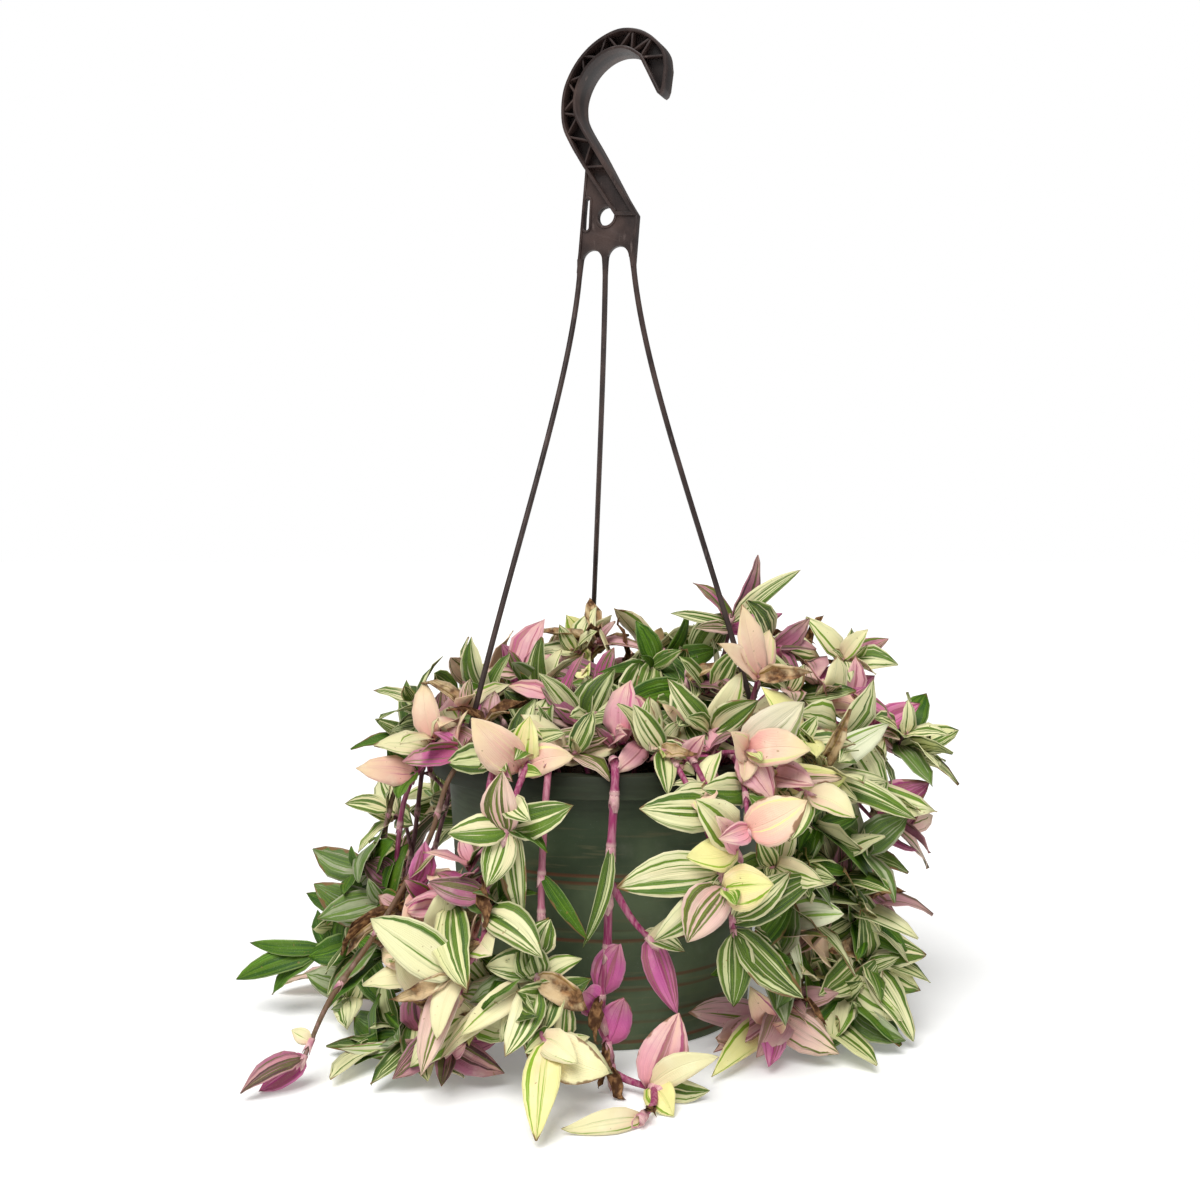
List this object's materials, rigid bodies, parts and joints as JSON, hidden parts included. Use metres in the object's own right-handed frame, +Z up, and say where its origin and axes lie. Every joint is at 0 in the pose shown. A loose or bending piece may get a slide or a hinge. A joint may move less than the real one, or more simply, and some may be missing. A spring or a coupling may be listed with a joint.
{
  "type": "potted trailing plant",
  "caption": "Trailing tradescantia with striped green, cream and pink leaves, in a round plastic hanging pot with a three-legged hook hanger.",
  "frame": {"origin": "centre of the underside of the pot", "axes": "+Z up the pot's axis towards the hook, -Y towards the pictured side"},
  "size_m": [0.4015, 0.3581, 0.5604],
  "materials": {
    "pot_plastic": "satin",
    "hanger_plastic": "semi-gloss",
    "potting_soil": "rough",
    "foliage": "satin"
  },
  "bodies": {
    "root": {"pot": "pot_plastic", "hanger": "hanger_plastic", "soil": "potting_soil", "all_green": "foliage", "back_hanging_1": "foliage", "back_hanging_2": "foliage", "back_hanging_3": "foliage", "back_hanging_4": "foliage", "back_hanging_5": "foliage", "back_hanging_6": "foliage", "back_hanging_7": "foliage", "back_hanging_8": "foliage", "back_rising_1": "foliage", "back_rising_2": "foliage", "back_rising_3": "foliage", "back_rising_4": "foliage", "behind_leg": "foliage", "centre": "foliage", "centre_right": "foliage", "cream_right": "foliage", "crown": "foliage", "cup_mid": "foliage", "dark_spear": "foliage", "dry_curl": "foliage", "fan": "foliage", "far_right": "foliage", "far_top": "foliage", "folded": "foliage", "front_left": "foliage", "front_right": "foliage", "lance": "foliage", "left_front": "foliage", "left_hang": "foliage", "left_leg": "foliage", "lip_left": "foliage", "long_left": "foliage", "long_stripe": "foliage", "magenta_right": "foliage", "mid_stripe": "foliage", "pale_back": "foliage", "pink_star": "foliage", "purple_right": "foliage", "right_cup": "foliage", "right_low": "foliage", "right_rosette": "foliage", "right_stem": "foliage", "salmon_cup": "foliage", "salmon_left": "foliage", "spear": "foliage", "star": "foliage", "stripe_mid": "foliage", "yellow_right": "foliage"}
  },
  "joints": []
}
